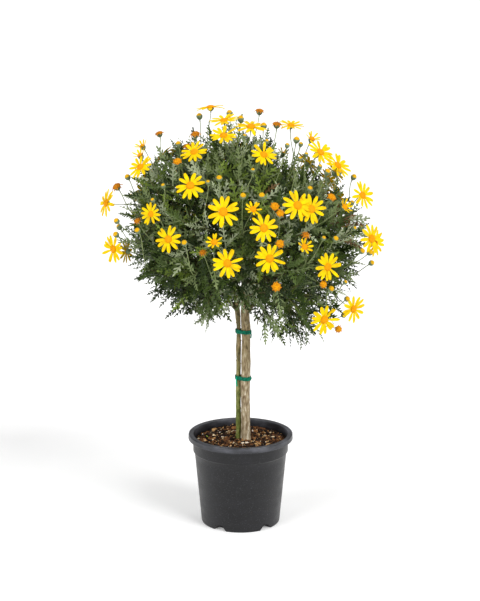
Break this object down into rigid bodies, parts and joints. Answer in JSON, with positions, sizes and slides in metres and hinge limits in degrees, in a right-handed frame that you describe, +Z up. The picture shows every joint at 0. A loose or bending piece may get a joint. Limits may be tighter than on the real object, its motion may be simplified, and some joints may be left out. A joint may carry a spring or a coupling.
{
  "type": "potted standard daisy bush",
  "caption": "Small flowering standard shrub: bare bound stems in a round nursery pot under a loose ball of feathery leaves and yellow daisies.",
  "frame": {"origin": "centre of the pot's flat underside", "axes": "+Z up along the pot's axis, -Y towards the front, +X to the viewer's right"},
  "size_m": [0.4714, 0.467, 0.7464],
  "materials": {
    "pot_plastic": "satin",
    "potting_mix": "matte",
    "trunk_bark": "matte",
    "second_stem_bark": "matte",
    "bough_bark": "matte",
    "tie_tape": "satin",
    "foliage": "matte",
    "petals": "matte",
    "flower_discs": "matte"
  },
  "bodies": {
    "root": {"pot": "pot_plastic", "potting_mix": "potting_mix", "trunk": "trunk_bark", "second_stem": "second_stem_bark", "tie_lower": "tie_tape", "tie_upper": "tie_tape", "bough_top": "bough_bark", "foliage_top": "foliage", "bough_upper_front": "bough_bark", "foliage_upper_front": "foliage", "bough_upper_right": "bough_bark", "foliage_upper_right": "foliage", "bough_upper_back_right": "bough_bark", "foliage_upper_back_right": "foliage", "bough_upper_back_left": "bough_bark", "foliage_upper_back_left": "foliage", "bough_upper_left": "bough_bark", "foliage_upper_left": "foliage", "bough_lower_right": "bough_bark", "foliage_lower_right": "foliage", "bough_lower_back_right": "bough_bark", "foliage_lower_back_right": "foliage", "bough_lower_back_left": "bough_bark", "foliage_lower_back_left": "foliage", "bough_lower_left": "bough_bark", "foliage_lower_left": "foliage", "bough_lower_front_left": "bough_bark", "foliage_lower_front_left": "foliage", "bough_lower_front_right": "bough_bark", "foliage_lower_front_right": "foliage"}
  },
  "joints": []
}
